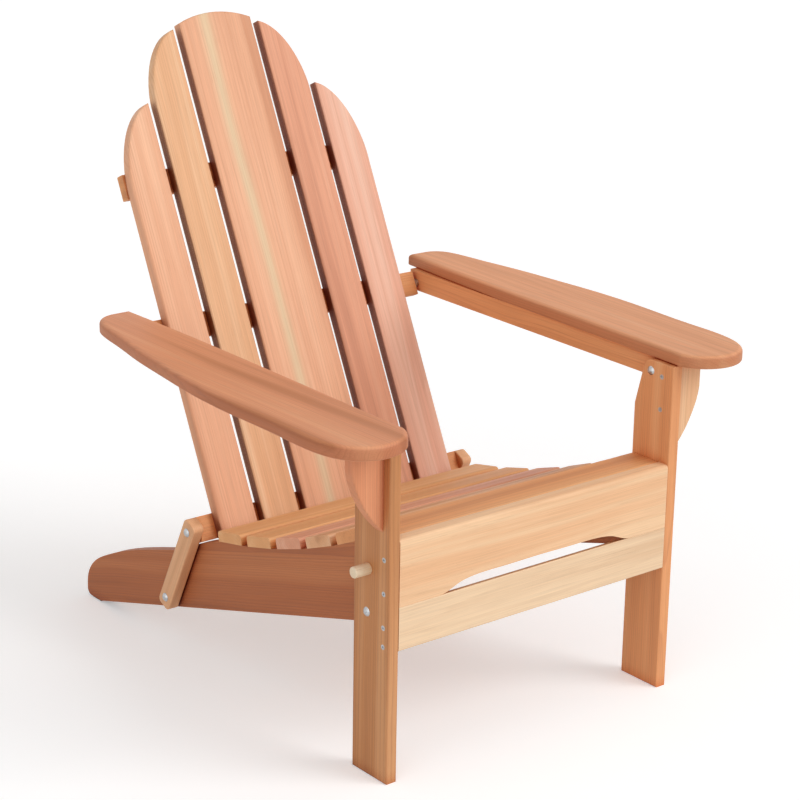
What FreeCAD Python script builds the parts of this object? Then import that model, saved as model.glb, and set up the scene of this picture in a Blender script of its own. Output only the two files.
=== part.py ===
import FreeCAD, Part
import math
import os

# Folding adirondack chair in cedar.
# Millimetres. X runs across the chair (+X is the sitter's left), Y runs from front to rear, Z is
# up and the floor is Z = 0. Sizes are laid out from the front of the front legs; every piece is
# then moved by MID_DEPTH, so the saved origin is on the floor under the middle of the chair.
# A side outline is a list of (Y, Z) points, a plan outline is a list of (X, Y) points.

V = FreeCAD.Vector
os.makedirs("parts", exist_ok=True)

# ---------------------------------------------------------------- lumber and overall sizes
BOARD = 22.0              # thickness of the structural boards
SEAT_SLAT_THICK = 19.0
BACK_SLAT_THICK = 20.0
BACK_RAIL_THICK = 18.0
SEAT_HALF = 290.0         # half the seat width, to the outer faces of the stringers
RUN_GAP = 0.5             # running gap beside every swinging board
LEG_IN = SEAT_HALF + RUN_GAP
LEG_OUT = LEG_IN + BOARD
ARM_RAIL_IN = LEG_OUT + RUN_GAP
ARM_RAIL_OUT = ARM_RAIL_IN + BOARD
EASE = 2.5                # rounding of ordinary board edges
MID_DEPTH = 437.27        # middle of the overall depth, behind the front of the legs

# ---------------------------------------------------------------- pivots, as (Y, Z)
LEG_PIVOT = (55.0, 282.5)
ARM_PIVOT = (53.0, 570.5)
LINK_FOOT = (635.0, 107.8)
FOLD_LEG = 73.0           # degrees, the legs end parallel with the stringers
FOLD_ARM_ON_LEG = 76.0    # degrees, the arm's swing as seen from the leg

# ---------------------------------------------------------------- front frame
LEG_WIDTH = 89.0
ARM_UNDERSIDE = 590.5
LEG_TOP = ARM_UNDERSIDE - 1.0
LEG_TOP_ROUND = 19.0      # clears the arm board when it swings about the arm pivot
APRON_TOP = 415.5
APRON_BOTTOM = 302.5
LOWER_RAIL_BOTTOM = 227.0
APRON_EDGE_ROUND = 7.0
SEAM_EASE = 1.5           # softened edges where the apron stands on the lower rail
RAIL_FALL = 9.0           # the lower rail's top falls this much to the rear, between the legs
ARCH_HALF = 209.0
ARCH_SHOULDER = 150.0
ARCH_RISE = 16.0
ARCH_CROWN = 19.0
CORBEL_FRONT = 15.5
CORBEL_REACH = 60.5
CORBEL_SHAPE = [(60.5, 538.0), (54.5, 512.0), (46.0, 492.0), (34.0, 470.0), (17.0, 447.0)]
CORBEL_TOE = 429.0

# ---------------------------------------------------------------- stringers and seat
STRINGER_FRONT = 23.0
STRINGER_SLOPE = 16.85    # degrees, bottom edge falling to the rear
STRINGER_DROP = 22.7      # bottom edge below the leg pivot, square to the edge
PAD_THICK = 3.0
FOOT_FLAT_END = 934.0
HEEL = [(946.5, 14.0), (946.0, 31.0)]
TAIL = [(938.0, 55.0), (918.0, 78.0), (880.0, 101.5), (825.0, 127.0), (755.0, 153.5), (638.0, 191.0)]
BEHIND_SEAT = [(563.0, 227.3), (541.0, 237.2)]   # just under the lower back rail
SLAT_WIDTH = 70.0
SLAT_PITCH = 87.7
SLAT_ROUND = 6.0
REAR_SLAT_MIDDLE = (470.2, 277.8)
REAR_SLAT_TILT = 11.5     # degrees
TILT_STEP = 3.4           # each slat nearer the front is this much steeper
SLOPING_SLATS = 5
FRONT_SLAT_REAR = 88.5
FRONT_SLAT_FRONT = 22.7
FRONT_SLAT_TOP = 415.0

# ---------------------------------------------------------------- back
RECLINE = 25.7            # degrees from upright
BACK_ORIGIN = (555.0, 300.0)
RAIL_HEIGHT = 45.0
RAIL_CENTRES = {"top": 578.0, "middle": 314.0, "bottom": -38.0}
RAIL_HALF = {"top": 264.0, "middle": 305.5, "bottom": 293.0}
BACK_REAR = BACK_SLAT_THICK + BACK_RAIL_THICK
PIVOT_DEPTH = 27.0        # bolts behind the front face of the back
BACK_SLAT_BOTTOM = -61.0
BACK_EDGE_ROUND = 4.0
CENTRE_HALF = 78.0
INNER_SLAT = (93.0, 169.0)
OUTER_SLAT = (184.0, 261.0)

# ---------------------------------------------------------------- arms
ARM_IN = 306.0
ARM_TOP = ARM_UNDERSIDE + BOARD
ARM_REAR = 736.0
ARM_RISE = 0.39           # degrees, the arms climb a little to the rear
ARM_EDGE_ROUND = 8.0
# the left arm board sits a little askew: degrees turned, set back, set out
ARM_ASKEW = {"left": (1.45, 20.0, 3.67), "right": (0.0, 0.0, 0.0)}
ARM_RAIL_HEIGHT = 38.0
ARM_RAIL_FRONT = CORBEL_FRONT + BOARD + 0.7
ARM_RAIL_REAR = 733.0

# ---------------------------------------------------------------- links
LINK_IN = 293.5
LINK_OUT = LINK_IN + BOARD
LINK_WIDTH = 34.0
LINK_END = 21.0           # wood beyond each bolt

# ---------------------------------------------------------------- pegs and fasteners
PEG_DIAMETER = 19.0
PEG_AT = (52.0, 357.0)
PEG_PROUD = 30.5
FIT = 0.05                # radial clearance of a turning or sliding fit
BOLT = 8.0
BOLT_HEAD = 16.0
BOLT_DOME = 4.0
NUT = 13.0
NUT_THICK = 6.5
WASHER = 19.0
WASHER_THICK = 1.6
SCREW = 4.5
SCREW_HEAD = 9.0
BUNG = 6.0                # seat screws sit this deep, under bungs that are one with the slats


def turn(point, degrees, about=(0.0, 0.0)):
    """Turn a (Y, Z) point about another; positive takes +Y towards +Z."""
    a = math.radians(degrees)
    y, z = point[0] - about[0], point[1] - about[1]
    return (about[0] + y * math.cos(a) - z * math.sin(a), about[1] + y * math.sin(a) + z * math.cos(a))


def on_back(depth, height):
    """(Y, Z) of a point of the back: depth behind its front face, height up its slope."""
    y, z = turn((depth, height), -RECLINE)
    return (BACK_ORIGIN[0] + y, BACK_ORIGIN[1] + z)


BACK_PIVOT = on_back(PIVOT_DEPTH, RAIL_CENTRES["middle"])
LINK_HEAD = on_back(PIVOT_DEPTH, RAIL_CENTRES["bottom"])


# ---------------------------------------------------------------- drawing helpers
def point_on(plane, base, p):
    a, b = p
    if plane == "YZ":
        return V(base, a, b)
    if plane == "XZ":
        return V(a, base, b)
    return V(a, b, base)


def prism(plane, base, depth, steps):
    """Solid from a closed outline. A step is a point, ("arc", via, end) or ("curve", points)."""
    def at(p):
        return point_on(plane, base, p)

    start = at(steps[0])
    here = start
    edges = []
    for step in list(steps[1:]) + [steps[0]]:
        if step[0] == "arc":
            end = at(step[2])
            edges.append(Part.Arc(here, at(step[1]), end).toShape())
        elif step[0] == "curve":
            spline = Part.BSplineCurve()
            spline.interpolate([here] + [at(p) for p in step[1]])
            end = at(step[1][-1])
            edges.append(spline.toShape())
        else:
            end = at(step)
            if (end - here).Length < 1e-6:
                continue
            edges.append(Part.LineSegment(here, end).toShape())
        here = end
    normal = {"YZ": V(depth, 0, 0), "XZ": V(0, depth, 0), "XY": V(0, 0, depth)}[plane]
    return Part.Face(Part.Wire(edges)).extrude(normal)


def rod(x0, x1, centre, diameter):
    """Round bar along X from x0 to x1, centred on a (Y, Z) point."""
    return Part.makeCylinder(diameter / 2, x1 - x0, V(x0, centre[0], centre[1]), V(1, 0, 0))


def ease(shape, radius, wanted):
    return shape.makeFillet(radius, [e for e in shape.Edges if wanted(e)])


def flat_at(axis, value):
    """Test for edges that lie wholly in the plane axis = value."""
    def test(edge):
        box = edge.BoundBox
        low = getattr(box, axis + "Min")
        high = getattr(box, axis + "Max")
        return abs(low - value) < 1e-3 and abs(high - value) < 1e-3
    return test


def other_side(shape):
    return shape.mirror(V(0, 0, 0), V(1, 0, 0))


def save(name, shapes):
    """Write one node; several separate solids become one compound."""
    if not isinstance(shapes, list):
        shapes = [shapes]
    solids = [s for shape in shapes for s in shape.Solids]
    whole = solids[0].copy() if len(solids) == 1 else Part.Compound(solids)
    whole.translate(V(0, -MID_DEPTH, 0))
    whole.exportStep("parts/" + name + ".step")


def save_pair(name, shape):
    save(name + "_left", shape)
    save(name + "_right", other_side(shape))


def hex_prism(x0, x1, centre, across):
    corner = across / 2 / math.cos(math.radians(30))
    corners = []
    for k in range(6):
        a = math.radians(60 * k)
        corners.append((centre[0] + corner * math.cos(a), centre[1] + corner * math.sin(a)))
    return prism("YZ", x0, x1 - x0, corners)


def washer(x0, centre, bore=BOLT):
    ring = rod(x0, x0 + WASHER_THICK, centre, WASHER)
    return ring.cut(rod(x0 - 1, x0 + WASHER_THICK + 1, centre, bore + 2 * FIT))


def domed_bolt(face, tip, centre):
    """Carriage bolt along X: domed head on the plane X = face, plain shank to X = tip."""
    side = 1 if face > tip else -1
    shank = rod(min(face, tip), max(face, tip), centre, BOLT)
    ball_radius = (BOLT_HEAD ** 2 / 4 + BOLT_DOME ** 2) / (2 * BOLT_DOME)
    ball = Part.makeSphere(ball_radius, V(face + side * (BOLT_DOME - ball_radius), centre[0], centre[1]))
    cap = rod(min(face, face + side * 5), max(face, face + side * 5), centre, BOLT_HEAD)
    return shank.fuse(ball.common(cap)).removeSplitter()


def nut(x0, centre):
    body = hex_prism(x0, x0 + NUT_THICK, centre, NUT)
    return body.cut(rod(x0 - 1, x0 + NUT_THICK + 1, centre, BOLT + 2 * FIT))


def screw(head, direction, length):
    """Countersunk wood screw: head centre on the surface, driven along a unit direction."""
    cone = Part.makeCone(SCREW_HEAD / 2, SCREW / 2, SCREW_HEAD / 2 - SCREW / 2 + 0.8, head, direction)
    shank = Part.makeCylinder(SCREW / 2, length, head, direction)
    slot = Part.makeCylinder(1.6, 1.4, head, direction)
    return cone.fuse(shank).removeSplitter().cut(slot)


def sink(board, screws):
    """Cut the seats of the screws out of a board."""
    for s in screws:
        whole = s.Solids[0]
        board = board.cut(whole)
    return board


def plug_screw(head, direction, length):
    """The screw without its driver recess, used to cut its seat."""
    cone = Part.makeCone(SCREW_HEAD / 2, SCREW / 2, SCREW_HEAD / 2 - SCREW / 2 + 0.8, head, direction)
    return cone.fuse(Part.makeCylinder(SCREW / 2, length, head, direction))


def screw_set(places):
    """Screws and their seats for a list of (head, direction, length)."""
    return [screw(*p) for p in places], [plug_screw(*p) for p in places]


# ---------------------------------------------------------------- front frame
def leg_outline():
    by, bz = ARM_PIVOT
    start = turn((by, bz + LEG_TOP_ROUND), -FOLD_ARM_ON_LEG, ARM_PIVOT)
    via = turn((by, bz + LEG_TOP_ROUND), -FOLD_ARM_ON_LEG / 2, ARM_PIVOT)
    slope = math.tan(math.radians(90 - FOLD_ARM_ON_LEG))
    shoulder = start[1] - (LEG_WIDTH - start[0]) / slope
    return [(0, 0), (LEG_WIDTH, 0), (LEG_WIDTH, shoulder), start, ("arc", via, (by, LEG_TOP)), (0, LEG_TOP)]


apron_screws = [(V(LEG_OUT, 12.5, z), V(-1, 0, 0), 55.0) for z in (383.5, 326.5, 269.0, 236.5)]
corbel_screws = [(V(LEG_IN, 26.5, z), V(1, 0, 0), 44.0) for z in (566.0, 508.0)]
frame_screws, frame_seats = screw_set(apron_screws)
bracket_screws, bracket_seats = screw_set(corbel_screws)

leg = prism("YZ", LEG_IN, BOARD, leg_outline())
leg = ease(leg, EASE, lambda e: flat_at("X", LEG_IN)(e) or flat_at("X", LEG_OUT)(e))
leg = leg.cut(rod(LEG_IN - 1, LEG_OUT + 1, LEG_PIVOT, BOLT))
leg = leg.cut(rod(LEG_IN - 1, LEG_OUT + 1, ARM_PIVOT, BOLT))
leg = leg.cut(rod(LEG_IN - 1, LEG_OUT + 1, PEG_AT, PEG_DIAMETER + 2 * FIT))
leg = sink(leg, frame_seats + bracket_seats)
save_pair("leg", leg)


def arch_outline():
    """Front view of the apron: level top, bottom edge cut to a long low arch."""
    bottom = APRON_BOTTOM
    rise = [(-ARCH_HALF + 18, bottom + 3.5), (-ARCH_HALF + 40, bottom + 12),
            (-ARCH_SHOULDER, bottom + ARCH_RISE)]
    crown = [(-75, bottom + ARCH_CROWN - 0.8), (0, bottom + ARCH_CROWN), (75, bottom + ARCH_CROWN - 0.8)]
    fall = [(-x, z) for x, z in reversed(rise)] + [(ARCH_HALF, bottom)]
    return [(-LEG_IN, bottom), (-ARCH_HALF, bottom), ("curve", rise + crown + fall),
            (LEG_IN, bottom), (LEG_IN, APRON_TOP), (-LEG_IN, APRON_TOP)]


def both_sides(solids):
    return solids + [other_side(s) for s in solids]


apron = prism("XZ", 0, BOARD, arch_outline())
apron = ease(apron, APRON_EDGE_ROUND, lambda e: flat_at("Z", APRON_TOP)(e) and flat_at("Y", 0)(e))
apron = sink(apron, both_sides(frame_seats))
save("apron", apron)

rail_depth = APRON_BOTTOM - LOWER_RAIL_BOTTOM
lower_rail = Part.makeBox(2 * LEG_IN, BOARD, rail_depth, V(-LEG_IN, 0, LOWER_RAIL_BOTTOM))
lower_rail = ease(lower_rail, EASE, lambda e: flat_at("Z", LOWER_RAIL_BOTTOM)(e) and e.Length > 100)
lower_rail = ease(lower_rail, SEAM_EASE, lambda e: flat_at("Z", APRON_BOTTOM)(e) and flat_at("Y", 0)(e))
wedge = prism("YZ", -ARCH_HALF, 2 * ARCH_HALF,
              [(2, APRON_BOTTOM), (BOARD + 1, APRON_BOTTOM - RAIL_FALL),
               (BOARD + 1, APRON_BOTTOM + 1), (2, APRON_BOTTOM + 1)])
lower_rail = lower_rail.cut(wedge)
lower_rail = sink(lower_rail, both_sides(frame_seats))
save("lower_rail", lower_rail)

corbel = prism("XZ", CORBEL_FRONT, BOARD,
               [(LEG_OUT, CORBEL_TOE), (LEG_OUT, LEG_TOP), (LEG_OUT + CORBEL_REACH, LEG_TOP),
                (LEG_OUT + CORBEL_SHAPE[0][0], CORBEL_SHAPE[0][1]),
                ("curve", [(LEG_OUT + x, z) for x, z in CORBEL_SHAPE[1:]] + [(LEG_OUT, CORBEL_TOE)])])
corbel = ease(corbel, EASE,
              lambda e: (flat_at("Y", CORBEL_FRONT)(e) or flat_at("Y", CORBEL_FRONT + BOARD)(e))
              and not flat_at("X", LEG_OUT)(e) and not flat_at("Z", LEG_TOP)(e))
corbel = sink(corbel, bracket_seats)
save_pair("corbel", corbel)
save_pair("frame_screws", Part.Compound(frame_screws))
save_pair("corbel_screws", Part.Compound(bracket_screws))

# ---------------------------------------------------------------- seat slats and stringers
def slat_places():
    """Middle of the top face and tilt of each sloping slat, from the rear one to the front."""
    y, z = REAR_SLAT_MIDDLE
    places = []
    for k in range(SLOPING_SLATS):
        tilt = REAR_SLAT_TILT + TILT_STEP * k
        places.append((y, z, tilt))
        step = math.radians(tilt + TILT_STEP / 2)
        y -= SLAT_PITCH * math.cos(step)
        z += SLAT_PITCH * math.sin(step)
    return places


def slat_section(width, middle, tilt):
    """Side view of a slat with rounded upper edges."""
    h = width / 2
    t = SEAT_SLAT_THICK
    r = SLAT_ROUND
    c = r * (1 - math.sqrt(0.5))
    local = [(-h, -t), (h, -t), (h, -r), ("arc", (h - c, -c), (h - r, 0)),
             (-h + r, 0), ("arc", (-h + c, -c), (-h, -r))]

    def place(p):
        y, z = turn(p, -tilt)
        return (middle[0] + y, middle[1] + z)

    return [("arc", place(s[1]), place(s[2])) if s[0] == "arc" else place(s) for s in local]


def slat_foot(middle, tilt, along):
    """Point under a slat, on the stringer's seat for it."""
    y, z = turn((along, -SEAT_SLAT_THICK), -tilt)
    return (middle[0] + y, middle[1] + z)


front_middle = ((FRONT_SLAT_REAR + FRONT_SLAT_FRONT) / 2, FRONT_SLAT_TOP)
front_width = FRONT_SLAT_REAR - FRONT_SLAT_FRONT
sloping = slat_places()
slats = [((y, z), tilt, SLAT_WIDTH) for y, z, tilt in sloping] + [(front_middle, 0.0, front_width)]

seat_screws = []
for number, (middle, tilt, width) in enumerate(slats, start=1):
    down = turn((0, -1), -tilt)
    places = []
    for along in (-width / 4, width / 4):
        y, z = turn((along, -BUNG), -tilt)
        for x in (-SEAT_HALF + BOARD / 2, SEAT_HALF - BOARD / 2):
            places.append((V(x, middle[0] + y, middle[1] + z), V(0, down[0], down[1]), 38.0))
    screws, seats = screw_set(places)
    slat = prism("YZ", -SEAT_HALF, 2 * SEAT_HALF, slat_section(width, middle, tilt))
    save("seat_slat_%d" % number, sink(slat, seats))
    seat_screws.append((screws, seats))
save("seat_slat_screws", [s for screws, _ in seat_screws for s in screws])


def stringer_outline():
    """Side view: slat seats on top, rounded nose about the leg pivot, sloping bottom, rounded heel."""
    across = turn((0, -1), -STRINGER_SLOPE)
    nose_radius = LEG_PIVOT[0] - STRINGER_FRONT
    edge = (LEG_PIVOT[0] + STRINGER_DROP * across[0], LEG_PIVOT[1] + STRINGER_DROP * across[1])
    back_up = math.sqrt(nose_radius ** 2 - STRINGER_DROP ** 2)
    along = turn((1, 0), -STRINGER_SLOPE)
    nose_end = (edge[0] - back_up * along[0], edge[1] - back_up * along[1])
    nose_start = (STRINGER_FRONT, LEG_PIVOT[1])
    sweep = math.degrees(math.atan2(LEG_PIVOT[1] - nose_end[1], LEG_PIVOT[0] - nose_end[0]))
    via = turn(nose_start, sweep / 2, LEG_PIVOT)
    reach = (edge[1] - PAD_THICK) / math.sin(math.radians(STRINGER_SLOPE))
    toe = (edge[0] + reach * along[0], PAD_THICK)
    top = []
    for middle, tilt, width in slats:
        top.append(slat_foot(middle, tilt, width / 2))
        top.append(slat_foot(middle, tilt, -width / 2))
    top[-1] = (STRINGER_FRONT, top[-1][1])
    return [nose_start, ("arc", via, nose_end), toe, (FOOT_FLAT_END, PAD_THICK),
            ("arc", (FOOT_FLAT_END + 8.7, PAD_THICK + 3.3), HEEL[0]), HEEL[1],
            ("curve", TAIL)] + BEHIND_SEAT + top


stringer = prism("YZ", SEAT_HALF - BOARD, BOARD, stringer_outline())
stringer = stringer.cut(rod(SEAT_HALF - BOARD - 1, SEAT_HALF + 1, LEG_PIVOT, BOLT + 2 * FIT))
stringer = stringer.cut(rod(SEAT_HALF - BOARD - 1, SEAT_HALF + 1, LINK_FOOT, BOLT))
stringer = stringer.cut(rod(SEAT_HALF - BOARD - 1, SEAT_HALF + 1, PEG_AT, PEG_DIAMETER + 1))
for _, seats in seat_screws:
    stringer = sink(stringer, seats)
save_pair("stringer", stringer)

pad_front = FOOT_FLAT_END - 34
foot_pad = Part.makeBox(BOARD - 4, 30, PAD_THICK, V(SEAT_HALF - BOARD + 2, pad_front + 2, 0))
foot_pad = ease(foot_pad, 1.0, flat_at("Z", 0))
save_pair("foot_pad", foot_pad)

# ---------------------------------------------------------------- back
def lean(shape):
    """Take a piece drawn upright, front face at Y = 0, to its place in the reclined back."""
    placed = shape.copy()
    placed.rotate(V(0, 0, 0), V(1, 0, 0), -RECLINE)
    placed.translate(V(0, BACK_ORIGIN[0], BACK_ORIGIN[1]))
    return placed


def back_slat(steps):
    slat = prism("XZ", 0, BACK_SLAT_THICK, steps)
    return ease(slat, BACK_EDGE_ROUND,
                lambda e: flat_at("Y", 0)(e) and not flat_at("Z", BACK_SLAT_BOTTOM)(e))


def shoulder_slat(side, inner_top, centre_x, centre_z, half_width, half_height):
    """A slat whose top is a quarter of an ellipse falling to its outer edge."""
    inner, outer = side

    def rim(x):
        return centre_z + half_height * math.sqrt(max(0.0, 1 - ((x - centre_x) / half_width) ** 2))

    count = 7
    arc = []
    for k in range(1, count + 1):
        a = math.pi / 2 * k / count
        arc.append(inner + (outer - inner) * math.sin(a))
    low = (outer, rim(outer) - 25)
    curve = [(x, rim(x)) for x in arc[:-1]] + [low]
    return [(inner, BACK_SLAT_BOTTOM), (inner, inner_top), ("curve", curve), (outer, BACK_SLAT_BOTTOM)]


INNER_TOP = 847.0
OUTER_TOP = 719.0
CENTRE_TOP = 872.0
CENTRE_SIDE = 856.5
centre_slat = back_slat([(-CENTRE_HALF, BACK_SLAT_BOTTOM), (-CENTRE_HALF, CENTRE_SIDE),
                         ("arc", (0, CENTRE_TOP), (CENTRE_HALF, CENTRE_SIDE)),
                         (CENTRE_HALF, BACK_SLAT_BOTTOM)])
inner_slat = back_slat(shoulder_slat(INNER_SLAT, INNER_TOP, 80.0, 690.0, 91.0, 158.5))
outer_slat = back_slat(shoulder_slat(OUTER_SLAT, OUTER_TOP, 170.0, 548.0, 92.5, 173.0))
uprights = [other_side(outer_slat), other_side(inner_slat), centre_slat, inner_slat, outer_slat]

back_places = []
middles = (0.0, sum(INNER_SLAT) / 2, sum(OUTER_SLAT) / 2)
for centre in RAIL_CENTRES.values():
    for middle in middles:
        for side in ((1,) if middle == 0.0 else (-1, 1)):
            for offset in (-18.0, 18.0):
                head = V(side * middle + offset, BACK_REAR, centre + offset / 2)
                back_places.append((head, V(0, -1, 0), BACK_REAR - 5))
back_screws, back_seats = screw_set(back_places)

for number, upright in enumerate(uprights, start=1):
    save("back_slat_%d" % number, lean(sink(upright, back_seats)))

for name, centre in RAIL_CENTRES.items():
    half = RAIL_HALF[name]
    low = V(-half, BACK_SLAT_THICK, centre - RAIL_HEIGHT / 2)
    rail = Part.makeBox(2 * half, BACK_RAIL_THICK, RAIL_HEIGHT, low)
    rail = ease(rail, EASE, lambda e: flat_at("Y", BACK_REAR)(e) and e.Length > 100)
    rail = sink(rail, back_seats)
    if name != "top":
        depth = 60.0 if name == "bottom" else 30.0
        bore = Part.makeCylinder(BOLT / 2, depth, V(half - depth, PIVOT_DEPTH, centre), V(1, 0, 0))
        rail = rail.cut(bore).cut(other_side(bore))
    save("back_rail_" + name, lean(rail))
save("back_screws", [lean(s) for s in back_screws])

# ---------------------------------------------------------------- arms
def arm_outline():
    """Plan: nearly straight inner edge, waisted outer edge, round front, rounded outer rear corner."""
    inner = [(306.5, 300), (307.5, 480), (310.5, 620), (315, ARM_REAR)]
    outer = [(386, 719), (401, 680), (411, 620), (425, 545), (437, 455), (449, 350),
             (454, 230), (452, 100), (450, 0)]
    front = [(433, -46), (392, -74), (341, -67), (ARM_IN, -25)]
    return [(ARM_IN, -25), ("curve", inner), (354, ARM_REAR), ("curve", outer + front)]


def set_arm(shape, side):
    """Give a level arm piece its rise to the rear and put it on its side of the chair."""
    placed = shape.copy()
    placed.rotate(V(0, ARM_PIVOT[0], ARM_PIVOT[1]), V(1, 0, 0), ARM_RISE)
    return placed if side == "left" else other_side(placed)


rail_low = ARM_UNDERSIDE - ARM_RAIL_HEIGHT


def arm_rail_outline():
    """Side view: the front is rounded about the arm pivot and cut straight where it folds flat."""
    nose = (ARM_RAIL_FRONT, ARM_PIVOT[1])
    via = turn(nose, FOLD_ARM_ON_LEG / 2, ARM_PIVOT)
    end = turn(nose, FOLD_ARM_ON_LEG, ARM_PIVOT)
    drop = end[1] - rail_low
    run = drop * math.tan(math.radians(FOLD_ARM_ON_LEG))
    return [(ARM_RAIL_FRONT, ARM_UNDERSIDE), nose, ("arc", via, end), (end[0] + run, rail_low),
            (ARM_RAIL_REAR - 14, rail_low), (ARM_RAIL_REAR, rail_low + 12), (ARM_RAIL_REAR, ARM_UNDERSIDE)]


arm_rail = prism("YZ", ARM_RAIL_IN, BOARD, arm_rail_outline())
arm_rail = arm_rail.cut(rod(ARM_RAIL_IN - 1, ARM_RAIL_OUT + 1, ARM_PIVOT, BOLT + 2 * FIT))
level_pivot = turn(BACK_PIVOT, -ARM_RISE, ARM_PIVOT)
arm_rail = arm_rail.cut(rod(ARM_RAIL_IN - 1, ARM_RAIL_OUT + 1, level_pivot, BOLT))
rail_middle = (ARM_RAIL_IN + ARM_RAIL_OUT) / 2
arm_places = [(V(rail_middle, y, rail_low), V(0, 0, 1), ARM_RAIL_HEIGHT + 14)
              for y in (120.0, 390.0, 650.0)]
arm_screws, arm_seats = screw_set(arm_places)
board = prism("XY", ARM_UNDERSIDE, BOARD, arm_outline())
board = ease(board, ARM_EDGE_ROUND, flat_at("Z", ARM_TOP))
board = ease(board, EASE, flat_at("Z", ARM_UNDERSIDE))
for side, (turned, set_back, set_out) in ARM_ASKEW.items():
    askew = board.copy()
    askew.rotate(V(370, 400, 0), V(0, 0, 1), -turned)
    askew.translate(V(set_out, set_back, 0))
    save("arm_board_" + side, set_arm(sink(askew, arm_seats), side))
    save("arm_rail_" + side, set_arm(sink(arm_rail, arm_seats), side))
    save("arm_screws_" + side, set_arm(Part.Compound(arm_screws), side))

# ---------------------------------------------------------------- links
def link_outline():
    """Upright bar with both ends rounded at the corners, drawn on the line between its bolts."""
    span = math.dist(LINK_FOOT, LINK_HEAD)
    h = LINK_WIDTH / 2
    top = span + LINK_END
    low = -LINK_END
    c = 9.0
    local = [(-h, low + c), ("arc", (-h + c * 0.3, low + c * 0.3), (-h + c, low)), (h - c, low),
             ("arc", (h - c * 0.3, low + c * 0.3), (h, low + c)), (h, top - c),
             ("arc", (h - c * 0.3, top - c * 0.3), (h - c, top)), (-h + c, top),
             ("arc", (-h + c * 0.3, top - c * 0.3), (-h, top - c))]
    lean_angle = math.degrees(math.atan2(LINK_FOOT[0] - LINK_HEAD[0], LINK_HEAD[1] - LINK_FOOT[1]))

    def place(p):
        y, z = turn(p, lean_angle)
        return (LINK_FOOT[0] + y, LINK_FOOT[1] + z)

    return [("arc", place(s[1]), place(s[2])) if s[0] == "arc" else place(s) for s in local]


link = prism("YZ", LINK_IN, BOARD, link_outline())
link = ease(link, EASE, lambda e: flat_at("X", LINK_IN)(e) or flat_at("X", LINK_OUT)(e))
link = link.cut(rod(LINK_IN - 1, LINK_OUT + 1, LINK_FOOT, BOLT + 2 * FIT))
link = link.cut(rod(LINK_IN - 1, LINK_OUT + 1, LINK_HEAD, BOLT + 2 * FIT))
save_pair("link", link)

# ---------------------------------------------------------------- pegs
peg = rod(LEG_IN + 0.3, LEG_OUT + PEG_PROUD, PEG_AT, PEG_DIAMETER)
peg = ease(peg, 2.0, lambda e: flat_at("X", LEG_OUT + PEG_PROUD)(e))
save_pair("peg", peg)

# ---------------------------------------------------------------- bolts, nuts and washers
inner_face = SEAT_HALF - BOARD
hold = 0.4                # washers stand this far off a face that turns under them

leg_nut_x = inner_face - hold - WASHER_THICK - NUT_THICK
save("leg_pivot_bolts", both_sides([domed_bolt(LEG_OUT, leg_nut_x - 3, LEG_PIVOT)]))
save("leg_pivot_washers", both_sides([washer(inner_face - hold - WASHER_THICK, LEG_PIVOT)]))
save("leg_pivot_nuts", both_sides([nut(leg_nut_x, LEG_PIVOT)]))

arm_nut_x = ARM_RAIL_OUT + hold + WASHER_THICK
save("arm_pivot_bolts", both_sides([domed_bolt(LEG_IN, arm_nut_x + NUT_THICK + 3, ARM_PIVOT)]))
save("arm_pivot_washers", both_sides([washer(ARM_RAIL_OUT + hold, ARM_PIVOT)]))
save("arm_pivot_nuts", both_sides([nut(arm_nut_x, ARM_PIVOT)]))

foot_nut_x = inner_face - WASHER_THICK - NUT_THICK
link_head_x = LINK_OUT + hold
save("link_foot_bolts", both_sides([domed_bolt(link_head_x, foot_nut_x - 3, LINK_FOOT)]))
save("link_foot_nuts", both_sides([nut(foot_nut_x, LINK_FOOT)]))
save("link_foot_washers", both_sides([washer(inner_face - WASHER_THICK, LINK_FOOT),
                                      washer(SEAT_HALF, LINK_FOOT),
                                      washer(SEAT_HALF + WASHER_THICK, LINK_FOOT)]))
save("link_head_bolts", both_sides([domed_bolt(link_head_x, RAIL_HALF["bottom"] - 55, LINK_HEAD)]))

spacer_in = RAIL_HALF["middle"] + 0.5
spacer = rod(spacer_in, ARM_RAIL_IN, BACK_PIVOT, 16.0)
spacer = spacer.cut(rod(spacer_in - 1, ARM_RAIL_IN + 1, BACK_PIVOT, BOLT))
save_pair("back_pivot_spacer", spacer)
save_pair("back_pivot_bolt", domed_bolt(ARM_RAIL_OUT, spacer_in, BACK_PIVOT))
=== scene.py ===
import math

import bpy
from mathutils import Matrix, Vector

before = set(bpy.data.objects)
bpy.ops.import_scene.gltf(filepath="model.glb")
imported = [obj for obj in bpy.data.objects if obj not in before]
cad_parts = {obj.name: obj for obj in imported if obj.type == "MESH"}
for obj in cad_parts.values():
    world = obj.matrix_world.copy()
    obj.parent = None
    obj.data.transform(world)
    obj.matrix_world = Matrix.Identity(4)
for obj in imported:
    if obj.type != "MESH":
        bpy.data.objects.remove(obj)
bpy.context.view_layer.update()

# Folding adirondack chair in cedar: the CAD pieces carry their shapes, this script gives them wood,
# zinc and rubber, a plain pale floor, soft studio light and the camera.
# Metres; +X is the sitter's left, +Y the rear, +Z up. The camera stands front right of the sitter.

# ---------------------------------------------------------------- camera
AZIMUTH = -39.43          # degrees, 0 looks along +Y
ELEVATION = 18.40
ROLL = 1.18
DISTANCE = 3.939
TARGET = Vector((0.0, -0.13727, 0.501))
LENS = 103.86
SHIFT = (-0.0315, 0.0046)

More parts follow.
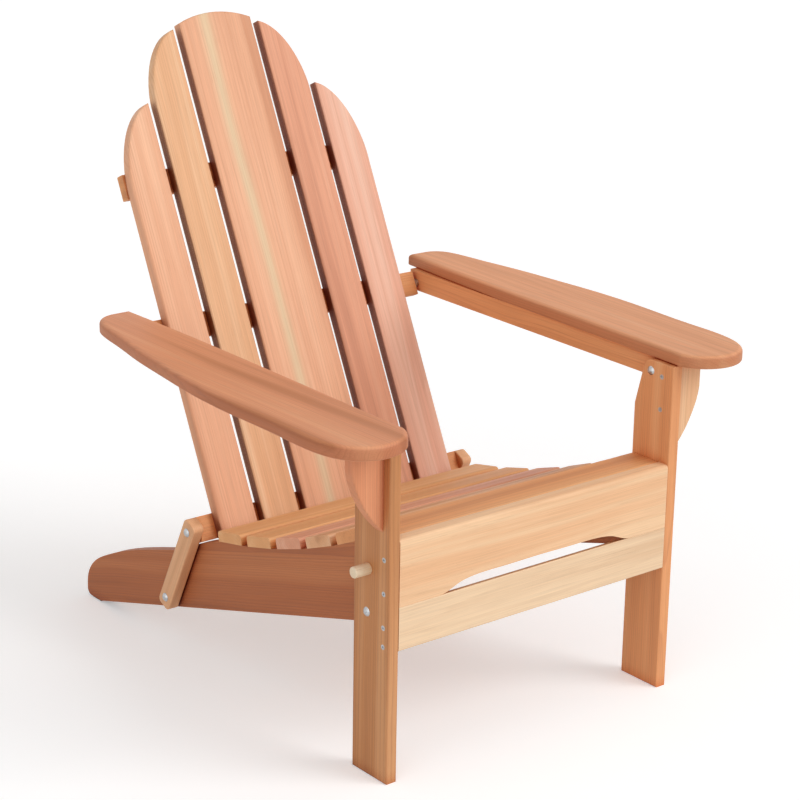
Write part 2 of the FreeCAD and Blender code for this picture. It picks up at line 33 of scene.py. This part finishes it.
# ---------------------------------------------------------------- light
WORLD_FRONT = 0.72        # level of the surrounding light from the front, and from behind
WORLD_REAR = 0.42
KEY_STRENGTH = 1.20
KEY_FROM = Vector((0.55, -0.75, 0.62))
KEY_ANGLE = 35.0          # degrees, a large soft source
FILL_STRENGTH = 0.60
FILL_FROM = Vector((-0.85, -0.45, 0.25))
FILL_ANGLE = 60.0
FLOOR_HALF = 60.0         # metres
FLOOR_COLOUR = 0.86
FLOOR_LIFT = 0.32         # added for the camera only, so the floor meets the white background

RECLINE = 25.7            # degrees, the back from upright
STRINGER_SLOPE = 16.85    # degrees, the stringers' fall to the rear

GRAIN_BUMP = 0.00035
ZINC_BUMP = 0.00008
RUBBER_BUMP = 0.0002


# ---------------------------------------------------------------- node helpers
class Nodes:
    """Short calls for building one node tree."""

    def __init__(self, tree):
        self.tree = tree

    def add(self, kind, inputs=None, **settings):
        family = "Node" if kind in ("GroupInput", "GroupOutput") else "ShaderNode"
        node = self.tree.nodes.new(family + kind)
        for key, value in settings.items():
            setattr(node, key, value)
        for key, value in (inputs or {}).items():
            self.put(node, key, value)
        return node

    def put(self, node, key, value):
        socket = node.inputs[key]
        if isinstance(value, bpy.types.NodeSocket):
            self.tree.links.new(value, socket)
        else:
            socket.default_value = value

    def math(self, operation, a, b=0.0, c=0.0, clamp=False):
        node = self.add("Math", {0: a, 1: b, 2: c}, operation=operation, use_clamp=clamp)
        return node.outputs[0]

    def vector(self, operation, a, b=(0.0, 0.0, 0.0)):
        node = self.add("VectorMath", {0: a, 1: b}, operation=operation)
        return node.outputs["Value" if operation in ("DOT_PRODUCT", "LENGTH") else "Vector"]

    def combine(self, x, y, z):
        return self.add("CombineXYZ", {0: x, 1: y, 2: z}).outputs[0]

    def noise(self, where, scale=1.0, detail=2.0, rough=0.5):
        inputs = {"Vector": where, "Scale": scale, "Detail": detail, "Roughness": rough}
        return self.add("TexNoise", inputs, noise_dimensions="3D").outputs["Fac"]

    def mix(self, factor, a, b, blend="MIX"):
        node = self.add("Mix", data_type="RGBA", blend_type=blend, clamp_factor=True)
        self.put(node, 0, factor)
        self.put(node, 6, a)
        self.put(node, 7, b)
        return node.outputs[2]

    def span(self, value, low, high, to_low=0.0, to_high=1.0, kind="LINEAR"):
        inputs = {"Value": value, "From Min": low, "From Max": high, "To Min": to_low, "To Max": to_high}
        return self.add("MapRange", inputs, interpolation_type=kind, clamp=True).outputs[0]

    def ramp(self, value, stops):
        node = self.add("ValToRGB", {0: value})
        points = node.color_ramp.elements
        while len(points) < len(stops):
            points.new(0.5)
        for point, (place, level) in zip(points, stops):
            point.position = place
            point.color = (level, level, level, 1.0)
        return node.outputs[0]

    def seen_directly(self):
        """1 for camera, mirror and glass rays, 0 for the rays that light the scene."""
        ray = self.add("LightPath").outputs
        return self.math("MAXIMUM", ray["Is Camera Ray"],
                         self.math("MAXIMUM", ray["Is Glossy Ray"], ray["Is Transmission Ray"]))


def rgba(colour):
    return (colour[0], colour[1], colour[2], 1.0)


# ---------------------------------------------------------------- the wood
def cedar_group():
    """Cedar as a solid: growth rings about a pith line, broad streaks, fine fibre, painted shade in crevices,
    edges.
    """
    tree = bpy.data.node_groups.new("cedar", "ShaderNodeTree")
    sockets = [("Grain", "NodeSocketVector", (0, 0, 0)), ("Pith", "NodeSocketVector", (0, 0, 0)),
               ("Ring", "NodeSocketFloat", 0.004), ("Ring depth", "NodeSocketFloat", 0.35),
               ("Light", "NodeSocketColor", (1, 1, 1, 1)), ("Mid", "NodeSocketColor", (1, 1, 1, 1)),
               ("Dark", "NodeSocketColor", (1, 1, 1, 1)), ("Accent", "NodeSocketColor", (1, 1, 1, 1)),
               ("Accent at", "NodeSocketFloat", 0.0), ("Accent width", "NodeSocketFloat", 0.01),
               ("Accent amount", "NodeSocketFloat", 0.0)]
    for name, kind, value in sockets:
        socket = tree.interface.new_socket(name=name, in_out="INPUT", socket_type=kind)
        socket.default_value = value
    results = (("Color", "NodeSocketColor"), ("Roughness", "NodeSocketFloat"), ("Height", "NodeSocketFloat"))
    for name, kind in results:
        tree.interface.new_socket(name=name, in_out="OUTPUT", socket_type=kind)
    n = Nodes(tree)
    given = n.add("GroupInput").outputs
    grain = given["Grain"]

    wander = n.noise(n.vector("MULTIPLY", grain, (1.6, 5.0, 5.0)), 1.0, 2.0, 0.45)
    sway = n.math("MULTIPLY_ADD", wander, 0.034, -0.017)
    bent = n.vector("ADD", grain, n.combine(0.0, sway, n.math("MULTIPLY", sway, 0.7)))

    across = n.vector("MULTIPLY", n.vector("SUBTRACT", bent, given["Pith"]), (0.0, 1.0, 1.0))
    growth = n.noise(n.vector("MULTIPLY", bent, (0.3, 26.0, 26.0)), 1.0, 2.0, 0.5)
    phase = n.math("ADD", n.math("DIVIDE", n.vector("LENGTH", across), given["Ring"]),
                   n.math("MULTIPLY", growth, 5.0))
    ring = n.ramp(n.math("FRACT", phase), [(0.0, 0.0), (0.45, 0.08), (0.86, 0.85), (0.93, 1.0), (1.0, 0.0)])
    ring_no = n.math("FLOOR", phase)
    strength = n.noise(n.combine(n.math("MULTIPLY", ring_no, 0.37), 3.1, 0.4), 1.0, 1.0)
    ring = n.math("MULTIPLY", ring, n.span(strength, 0.3, 0.72, 0.15, 1.0))

    broad = n.noise(n.vector("MULTIPLY", bent, (0.55, 30.0, 22.0)), 1.0, 2.5, 0.55)
    slow = n.noise(n.vector("MULTIPLY", bent, (1.1, 9.0, 9.0)), 1.0, 1.5, 0.5)
    tone = n.math("ADD", n.math("MULTIPLY", broad, 0.62), n.math("MULTIPLY", slow, 0.38))
    colour = n.mix(n.span(tone, 0.36, 0.52, kind="SMOOTHSTEP"), given["Light"], given["Mid"])
    colour = n.mix(n.math("MULTIPLY", n.span(tone, 0.52, 0.70, kind="SMOOTHSTEP"), 0.8), colour, given["Dark"])

    side = n.add("SeparateXYZ", {0: bent}).outputs[1]
    offset = n.math("DIVIDE", n.math("SUBTRACT", side, given["Accent at"]), given["Accent width"])
    band = n.math("EXPONENT", n.math("MULTIPLY", n.math("POWER", n.math("ABSOLUTE", offset), 2.0), -1.0))
    colour = n.mix(n.math("MULTIPLY", band, given["Accent amount"]), colour, given["Accent"])

    colour = n.mix(n.math("MULTIPLY", ring, given["Ring depth"]), colour, given["Dark"])
    fibre = n.noise(n.vector("MULTIPLY", grain, (7.0, 620.0, 620.0)), 1.0, 3.0, 0.6)
    fleck = n.noise(n.vector("MULTIPLY", grain, (22.0, 900.0, 900.0)), 1.0, 1.0, 0.5)
    fleck = n.span(fleck, 0.66, 0.76, kind="SMOOTHSTEP")
    colour = n.mix(1.0, colour, n.combine(*[n.span(fibre, 0.25, 0.75, 0.88, 1.08)] * 3), "MULTIPLY")
    colour = n.mix(n.math("MULTIPLY", fleck, 0.22), colour, given["Dark"])

    # the rounded edges are a little paler, in patches
    bevel = n.add("Bevel", {"Radius": 0.004}, samples=4).outputs[0]
    true = n.add("NewGeometry").outputs["Normal"]
    edge = n.span(n.vector("DOT_PRODUCT", bevel, true), 0.97, 0.80)
    patchy = n.span(n.noise(n.vector("MULTIPLY", grain, (18.0, 60.0, 60.0)), 1.0, 3.0), 0.4, 0.62)
    paler_edge = n.math("MULTIPLY", edge, n.span(patchy, 0.0, 1.0, 0.08, 0.30))
    colour = n.mix(paler_edge, colour, given["Light"])

    # painted shade: where close wooden faces crowd a surface (ambient occlusion), the colour is raised to a
    # power. It darkens and deepens to red there, standing in for the shade and wood-to-wood bounce light
    # between the faces.
    open_sky = n.add("AmbientOcclusion", {"Distance": 0.05}, samples=6).outputs["AO"]
    crevice_shade_power = n.span(open_sky, 0.10, 0.62, 2.8, 1.0)
    parts = n.add("SeparateXYZ", {0: colour})
    colour = n.combine(*[n.math("POWER", parts.outputs[k], crevice_shade_power) for k in range(3)])

    rough = n.math("ADD", n.span(fibre, 0.2, 0.8, 0.50, 0.62), n.math("MULTIPLY", ring, -0.06))
    height = n.math("ADD", n.math("MULTIPLY", fibre, 0.5), n.math("MULTIPLY", ring, 0.35))
    height = n.math("SUBTRACT", height, n.math("MULTIPLY", fleck, 0.35))
    n.add("GroupOutput", {"Color": colour, "Roughness": rough, "Height": height})
    return tree


CEDAR = cedar_group()


def new_material(name):
    material = bpy.data.materials.new(name)
    material.use_nodes = True
    material.node_tree.nodes.clear()
    return material, Nodes(material.node_tree)


def finish_material(n, inputs, height, depth, metallic=0.0, specular=0.35):
    bump = n.add("Bump", {"Height": height, "Distance": depth, "Strength": 1.0})
    shader = n.add("BsdfPrincipled", dict(inputs, Normal=bump.outputs[0]))
    shader.inputs["Metallic"].default_value = metallic
    shader.inputs["Specular IOR Level"].default_value = specular
    n.add("OutputMaterial", {"Surface": shader.outputs[0]})
    return shader


def cedar(name, along, across, tones, seed, pith=(0.0, 0.25, -0.30), ring=0.0045, depth=0.45, accent=None,
          flank_grain_and_shade=None):
    """Cedar whose grain runs along one direction; across is the board's width direction.
    flank_grain_and_shade is (colour factor, covered): it darkens the narrow faces, either all of them (darker
    side grain together with painted shade) or only those close to others (painted shade in the gaps)."""
    material, n = new_material(name)
    place = n.add("TexCoord").outputs["Object"]
    length = Vector(along).normalized()
    width = (Vector(across) - Vector(across).dot(length) * length).normalized()
    thick = length.cross(width)
    axes = [n.vector("DOT_PRODUCT", place, tuple(axis)) for axis in (length, width, thick)]
    grain = n.combine(n.math("ADD", axes[0], seed * 1.73), axes[1], axes[2])
    group = n.add("Group", node_tree=CEDAR)
    light, mid, dark = tones
    n.put(group, "Grain", grain)
    n.put(group, "Pith", pith)
    n.put(group, "Ring", ring)
    n.put(group, "Ring depth", depth)
    n.put(group, "Light", rgba(light))
    n.put(group, "Mid", rgba(mid))
    n.put(group, "Dark", rgba(dark))
    if accent:
        colour, where, wide, amount = accent
        n.put(group, "Accent", rgba(colour))
        n.put(group, "Accent at", where)
        n.put(group, "Accent width", wide)
        n.put(group, "Accent amount", amount)
    colour = group.outputs["Color"]
    # painted shade: the narrow faces are darkened by a colour factor. On the arms this stands for darker side
    # grain together with the shade on those faces. On the back slats (covered) it stands only for the shade in
    # the gaps between slats.
    if flank_grain_and_shade:
        factor, covered = flank_grain_and_shade
        facing = n.vector("DOT_PRODUCT", n.add("TexCoord").outputs["Normal"], tuple(thick))
        amount = n.span(n.math("ABSOLUTE", facing), 0.85, 0.40)
        if covered:
            # painted shade: only narrow faces that close neighbours hide from the light (ambient occlusion)
            # are darkened
            sky = n.add("AmbientOcclusion", {"Distance": 0.04}, samples=6).outputs["AO"]
            amount = n.math("MULTIPLY", amount, n.span(sky, 0.85, 0.50))
        colour = n.mix(amount, colour, n.mix(1.0, colour, rgba(factor), "MULTIPLY"))
    inputs = {"Base Color": colour, "Roughness": group.outputs["Roughness"]}
    finish_material(n, inputs, group.outputs["Height"], GRAIN_BUMP)
    return material


def zinc():
    material, n = new_material("zinc")
    place = n.add("TexCoord").outputs["Object"]
    spots = n.noise(n.vector("MULTIPLY", place, (260.0, 260.0, 260.0)), 1.0, 4.0, 0.6)
    marks = n.noise(n.vector("MULTIPLY", place, (900.0, 900.0, 120.0)), 1.0, 2.0)
    colour = n.mix(n.span(spots, 0.35, 0.7), rgba((0.38, 0.39, 0.40)), rgba((0.60, 0.61, 0.62)))
    rough = n.span(spots, 0.3, 0.7, 0.26, 0.42)
    inputs = {"Base Color": colour, "Roughness": rough}
    finish_material(n, inputs, marks, ZINC_BUMP, metallic=1.0, specular=0.5)
    return material


def rubber():
    material, n = new_material("rubber")
    place = n.add("TexCoord").outputs["Object"]
    dust = n.noise(n.vector("MULTIPLY", place, (140.0, 140.0, 140.0)), 1.0, 4.0, 0.6)
    colour = n.mix(n.span(dust, 0.4, 0.7), rgba((0.018, 0.017, 0.016)), rgba((0.05, 0.047, 0.043)))
    inputs = {"Base Color": colour, "Roughness": n.span(dust, 0.3, 0.7, 0.7, 0.9)}
    finish_material(n, inputs, dust, RUBBER_BUMP)
    return material


def paint(material, *names):
    for name in names:
        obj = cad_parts[name]
        if not obj.material_slots:
            obj.data.materials.append(material)
        for slot in obj.material_slots:
            slot.link = "OBJECT"
            slot.material = material


# ---------------------------------------------------------------- tones, as light, mid and dark linear colours
PEACH = ((0.88, 0.50, 0.31), (0.80, 0.41, 0.24), (0.58, 0.24, 0.12))
TAN = ((0.86, 0.54, 0.32), (0.78, 0.42, 0.22), (0.55, 0.25, 0.11))
SALMON = ((0.84, 0.46, 0.30), (0.76, 0.35, 0.21), (0.52, 0.20, 0.11))
PINK = ((0.86, 0.52, 0.38), (0.80, 0.41, 0.28), (0.60, 0.27, 0.17))
ORANGE = ((0.86, 0.45, 0.21), (0.78, 0.35, 0.14), (0.52, 0.19, 0.07))
GOLD = ((0.88, 0.50, 0.24), (0.80, 0.40, 0.17), (0.55, 0.22, 0.08))
ARM = ((0.82, 0.38, 0.20), (0.74, 0.30, 0.15), (0.50, 0.18, 0.07))
ARM_FAR = ((0.86, 0.46, 0.25), (0.80, 0.36, 0.18), (0.55, 0.22, 0.09))
BROWN = ((0.66, 0.32, 0.14), (0.56, 0.24, 0.09), (0.35, 0.13, 0.05))
GLOW = ((0.86, 0.43, 0.20), (0.79, 0.34, 0.14), (0.55, 0.20, 0.08))
RED_BROWN = ((0.52, 0.18, 0.065), (0.44, 0.135, 0.045), (0.27, 0.075, 0.025))
PALE = ((0.90, 0.60, 0.36), (0.84, 0.49, 0.27), (0.62, 0.32, 0.15))
PALEST = ((0.90, 0.70, 0.48), (0.86, 0.62, 0.40), (0.68, 0.42, 0.24))
CREAM = ((0.90, 0.76, 0.56), (0.86, 0.69, 0.48), (0.70, 0.50, 0.30))
# darker side grain together with painted shade on the arms' narrow faces
ARM_SIDE_GRAIN_AND_SHADE = ((0.72, 0.62, 0.56), False)
# painted shade on the back slats' sides in the gaps between them
SLAT_GAP_SHADE = ((0.34, 0.24, 0.20), True)
BEIGE = (0.74, 0.58, 0.36)

ARM_GRAIN_LEAN = 0.03     # the grain of the arms runs a little outwards
X = (1, 0, 0)
Y = (0, 1, 0)
Z = (0, 0, 1)
UP_BACK = (0, math.sin(math.radians(RECLINE)), math.cos(math.radians(RECLINE)))
DOWN_STRINGER = (0, math.cos(math.radians(STRINGER_SLOPE)), -math.sin(math.radians(STRINGER_SLOPE)))

BACK = [("back_slat_1", PEACH, 1.0, None), ("back_slat_2", TAN, 2.0, None),
        ("back_slat_3", PEACH, 3.0, (BEIGE, -0.022, 0.012, 0.75)),
        ("back_slat_4", SALMON, 4.0, None), ("back_slat_5", PINK, 5.0, None)]
for name, tones, seed, accent in BACK:
    paint(cedar(name, UP_BACK, X, tones, seed, accent=accent, flank_grain_and_shade=SLAT_GAP_SHADE), name)
SEAT = [GOLD, GOLD, SALMON, TAN, ORANGE, ORANGE]
for k, tones in enumerate(SEAT, start=1):
    paint(cedar("seat_slat_%d" % k, X, Y, tones, 10.0 + k, depth=0.45), "seat_slat_%d" % k)
paint(cedar("apron", X, Z, PALE, 20.0, depth=0.4), "apron")
paint(cedar("lower_rail", X, Z, PALEST, 21.0, accent=(BEIGE, -0.02, 0.02, 0.4)), "lower_rail")
for k, side in enumerate(("left", "right")):
    lean = ARM_GRAIN_LEAN if side == "left" else -ARM_GRAIN_LEAN
    board, bearer, upright = (ARM_FAR, GLOW, GLOW) if side == "left" else (ARM, BROWN, BROWN)
    paint(cedar("arm_" + side, (lean, 1, 0), X, board, 30.0 + k, flank_grain_and_shade=ARM_SIDE_GRAIN_AND_SHADE), "arm_board_" + side)
    paint(cedar("arm_rail_" + side, Y, Z, bearer, 32.0 + k), "arm_rail_" + side)
    paint(cedar("leg_" + side, Z, Y, upright, 34.0 + k, depth=0.5), "leg_" + side)
    paint(cedar("corbel_" + side, Z, X, PALE if side == "left" else ARM, 36.0 + k), "corbel_" + side)
    paint(cedar("stringer_" + side, DOWN_STRINGER, Z, RED_BROWN, 38.0 + k, depth=0.5), "stringer_" + side)
    paint(cedar("link_" + side, (0, -0.44, 0.9), Y, TAN, 40.0 + k), "link_" + side)
    paint(cedar("peg_" + side, X, Z, CREAM, 42.0 + k, ring=0.002), "peg_" + side)
for k, where in enumerate(("top", "middle", "bottom")):
    paint(cedar("back_rail_" + where, X, UP_BACK, ORANGE, 50.0 + k), "back_rail_" + where)
paint(rubber(), "foot_pad_left", "foot_pad_right")
METAL_WORDS = ("screws", "bolt", "nuts", "washers", "spacer")
paint(zinc(), *[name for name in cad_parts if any(word in name for word in METAL_WORDS)])


# ---------------------------------------------------------------- floor, light, camera
def floor():
    mesh = bpy.data.meshes.new("floor")
    corners = [(FLOOR_HALF * a, FLOOR_HALF * b, 0) for a, b in ((-1, -1), (1, -1), (1, 1), (-1, 1))]
    mesh.from_pydata(corners, [], [(0, 1, 2, 3)])
    obj = bpy.data.objects.new("floor", mesh)
    bpy.context.scene.collection.objects.link(obj)
    material, n = new_material("floor")
    seen = n.seen_directly()
    body = n.add("BsdfDiffuse", {"Color": rgba((FLOOR_COLOUR,) * 3)})
    lift = n.add("Emission", {"Color": (1, 1, 1, 1), "Strength": n.math("MULTIPLY", seen, FLOOR_LIFT)})
    total = n.add("AddShader", {0: body.outputs[0], 1: lift.outputs[0]})
    n.add("OutputMaterial", {"Surface": total.outputs[0]})
    mesh.materials.append(material)


def surroundings():
    world = bpy.data.worlds.new("studio")
    bpy.context.scene.world = world
    world.use_nodes = True
    world.node_tree.nodes.clear()
    n = Nodes(world.node_tree)
    seen = n.seen_directly()
    towards = n.add("SeparateXYZ", {0: n.add("TexCoord").outputs["Generated"]}).outputs[1]
    level = n.span(towards, -0.6, 0.6, WORLD_FRONT, WORLD_REAR, kind="SMOOTHSTEP")
    level = n.math("ADD", n.math("MULTIPLY", level, n.math("SUBTRACT", 1.0, seen)), seen)
    back = n.add("Background", {"Color": (1, 1, 1, 1), "Strength": level})
    n.add("OutputWorld", {"Surface": back.outputs[0]})


def sun(name, strength, origin, angle):
    light = bpy.data.lights.new(name, "SUN")
    light.energy = strength
    light.angle = math.radians(angle)
    obj = bpy.data.objects.new(name, light)
    obj.rotation_euler = origin.to_track_quat("Z", "Y").to_euler()
    bpy.context.scene.collection.objects.link(obj)


def camera():
    az, el = math.radians(AZIMUTH), math.radians(ELEVATION)
    back = Vector((math.sin(az) * math.cos(el), -math.cos(az) * math.cos(el), math.sin(el)))
    data = bpy.data.cameras.new("camera")
    data.lens = LENS
    data.sensor_width = 36.0
    data.shift_x, data.shift_y = SHIFT
    obj = bpy.data.objects.new("camera", data)
    obj.location = TARGET + DISTANCE * back
    turn = back.to_track_quat("Z", "Y").to_matrix()
    roll = math.radians(ROLL)
    right = turn.col[0] * math.cos(roll) + turn.col[1] * math.sin(roll)
    up = turn.col[1] * math.cos(roll) - turn.col[0] * math.sin(roll)
    turn.col[0], turn.col[1] = right, up
    obj.rotation_euler = turn.to_euler()
    bpy.context.scene.collection.objects.link(obj)
    bpy.context.scene.camera = obj


floor()
surroundings()
sun("key", KEY_STRENGTH, KEY_FROM, KEY_ANGLE)
sun("fill", FILL_STRENGTH, FILL_FROM, FILL_ANGLE)
camera()
bpy.context.scene.view_settings.view_transform = "Standard"
